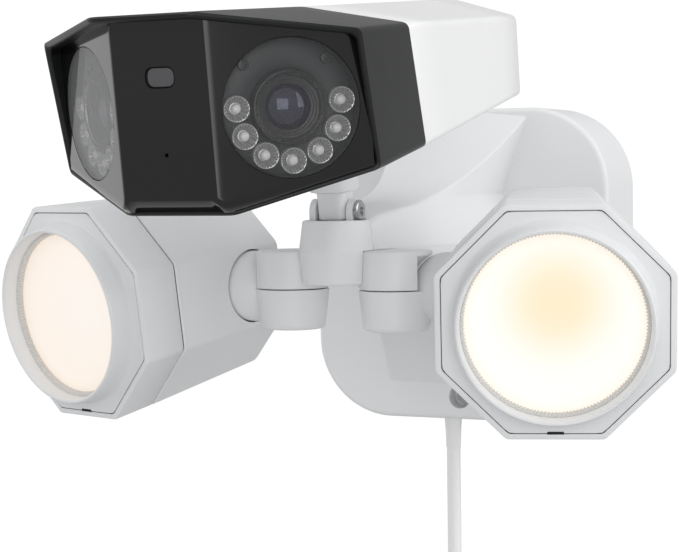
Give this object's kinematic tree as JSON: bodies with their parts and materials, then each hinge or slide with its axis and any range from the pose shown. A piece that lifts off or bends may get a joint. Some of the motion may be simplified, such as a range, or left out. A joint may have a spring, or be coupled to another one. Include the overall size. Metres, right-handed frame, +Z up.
{
  "type": "floodlight security camera",
  "caption": "Wall-mounted security camera with a twin-lens head on a pan and tilt hinge over octagonal floodlights on turning knuckles, with a mains cord and plug.",
  "frame": {"origin": "middle of the wall face of the base, midway between the two wall screws, on the wall plane", "axes": "-Y out of the wall towards the lenses, +Z up, +X to the right as seen from the front"},
  "size_m": [0.352, 0.3958, 0.445],
  "materials": {
    "white_shell": "satin",
    "gloss_white": "gloss",
    "gloss_black": "gloss",
    "black_hood": "satin",
    "diffuser": "satin",
    "rubber": "matte",
    "steel": "brushed",
    "aluminium": "matte",
    "board": "satin",
    "copper": "satin",
    "glass": "gloss",
    "lens_glass": "gloss",
    "cord_jacket": "satin"
  },
  "bodies": {
    "base": {"wall_bracket": "steel", "wall_gasket": "rubber", "base_housing": "white_shell", "arm_cover": "white_shell", "arm_tray": "white_shell", "cover_screw": "steel", "driver_board": "board", "transformer": "copper", "terminal_block": "gloss_white", "siren_horn": "black_hood", "cord_gland": "cord_jacket", "cord": "cord_jacket", "cord_coil": "cord_jacket", "cord_tail": "cord_jacket", "cord_tie": "rubber", "plug_body": "cord_jacket", "plug_blades": "steel", "left_knuckle_cap": "white_shell", "right_knuckle_cap": "white_shell", "left_pan_pin": "steel", "right_pan_pin": "steel"},
    "swivel": {"swivel_yoke": "white_shell", "hinge_bolt": "steel"},
    "head": {"head_stalk": "white_shell", "head_body": "white_shell", "head_hood": "black_hood", "face_panel": "gloss_black", "sensor_window": "gloss_white", "main_board": "board", "reset_cover": "rubber", "left_window": "glass", "left_barrel": "black_hood", "left_lens": "lens_glass", "left_ir_board": "board", "left_ir_leds": "gloss_white", "right_window": "glass", "right_barrel": "black_hood", "right_lens": "lens_glass", "right_ir_board": "board", "right_ir_leds": "gloss_white"},
    "left_arm": {"left_knuckle_arm": "white_shell"},
    "left_light": {"left_rear_housing": "white_shell", "left_front_frame": "white_shell", "left_frame_seal": "rubber", "left_bezel": "gloss_white", "left_diffuser": "diffuser", "left_reflector": "gloss_white", "left_led_board": "gloss_white", "left_heat_sink": "aluminium"},
    "right_arm": {"right_knuckle_arm": "white_shell"},
    "right_light": {"right_rear_housing": "white_shell", "right_front_frame": "white_shell", "right_frame_seal": "rubber", "right_bezel": "gloss_white", "right_diffuser": "diffuser", "right_reflector": "gloss_white", "right_led_board": "gloss_white", "right_heat_sink": "aluminium"}
  },
  "joints": [
    {"name": "head_pan", "type": "hinge", "parent": "base", "child": "swivel", "pos_m": [0, -0.214, 0.02], "axis": [0, 0, 1], "range_deg": [-10, 10]},
    {"name": "head_tilt", "type": "hinge", "parent": "swivel", "child": "head", "pos_m": [0, -0.214, 0.0345], "axis": [1, 0, 0], "range_deg": [-18, 4]},
    {"name": "left_light_pan", "type": "hinge", "parent": "base", "child": "left_arm", "pos_m": [-0.028, -0.206, -0.0035], "axis": [0, 0, -1], "range_deg": [-5, 26]},
    {"name": "left_light_tilt", "type": "hinge", "parent": "left_arm", "child": "left_light", "pos_m": [-0.09952, -0.18151, -0.0035], "axis": [-0.9461, 0.3239, 0], "range_deg": [-37, 8]},
    {"name": "right_light_pan", "type": "hinge", "parent": "base", "child": "right_arm", "pos_m": [0.028, -0.206, -0.0035], "axis": [0, 0, 1], "range_deg": [-5, 26]},
    {"name": "right_light_tilt", "type": "hinge", "parent": "right_arm", "child": "right_light", "pos_m": [0.09952, -0.18151, -0.0035], "axis": [-0.9461, -0.3239, 0], "range_deg": [-37, 8]}
  ]
}
